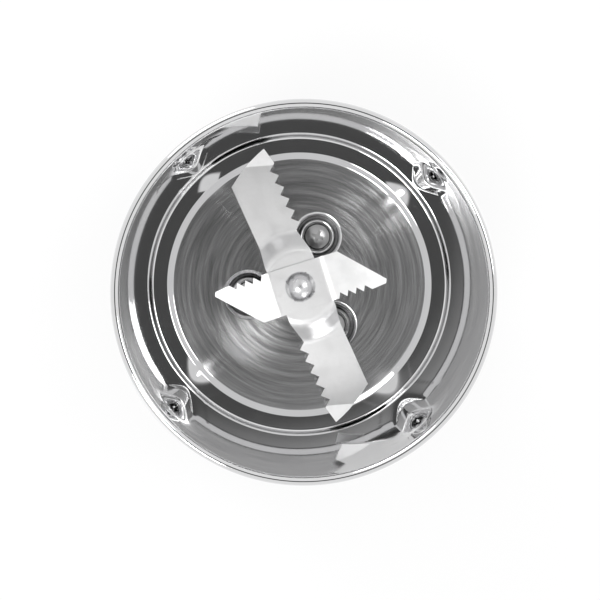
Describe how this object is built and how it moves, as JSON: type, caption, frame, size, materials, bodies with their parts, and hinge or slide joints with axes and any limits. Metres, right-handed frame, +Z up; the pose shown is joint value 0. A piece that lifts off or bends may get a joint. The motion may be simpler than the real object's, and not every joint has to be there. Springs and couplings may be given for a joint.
{
  "type": "mixer grinder chutney jar",
  "caption": "Small steel grinding jar with stepped floor, pressed wall ribs, crossed serrated blades on a turning shaft and a moulded base with drive coupler.",
  "frame": {"origin": "centre of the base's bottom edge, on the shaft's axis", "axes": "+Z up along the blade shaft, towards the open mouth; +X is the picture's right"},
  "size_m": [0.114, 0.114, 0.103],
  "materials": {
    "polished_steel": "mirror polished wall, finely turned floor",
    "blade_steel": "satin rolled sheet",
    "shaft_steel": "ground, hammered head",
    "screw_steel": "satin",
    "spring_steel": "dark oiled",
    "cast_aluminium": "cast, turned neck",
    "sintered_bronze": "sintered, oiled",
    "brass": "turned",
    "black_rubber": "matt",
    "felt": "oiled felt",
    "white_nylon": "smooth",
    "black_plastic": "moulded, half gloss",
    "coupler_plastic": "moulded, matt"
  },
  "bodies": {
    "jar": {"jar_shell": "polished_steel", "cushion_ring": "black_rubber", "floor_gasket": "black_rubber", "neck_gasket": "black_rubber", "bearing_housing": "cast_aluminium", "upper_bush": "sintered_bronze", "lower_bush": "sintered_bronze", "oil_felt": "felt", "shaft_seal": "black_rubber", "floor_screws": "screw_steel", "screw_seals": "black_rubber", "screw_inserts": "brass", "base_collar": "black_plastic"},
    "rotor": {"blade_shaft": "shaft_steel", "long_blade": "blade_steel", "short_blade": "blade_steel", "cup_washer": "screw_steel", "upper_thrust_washer": "white_nylon", "lower_thrust_washer": "white_nylon", "retaining_ring": "spring_steel", "coupler_core": "brass", "drive_coupler": "coupler_plastic"}
  },
  "joints": [
    {"name": "blade_spin", "type": "hinge", "parent": "jar", "child": "rotor", "pos_m": [0, 0, 0.04], "axis": [0, 0, 1], "continuous": true}
  ]
}
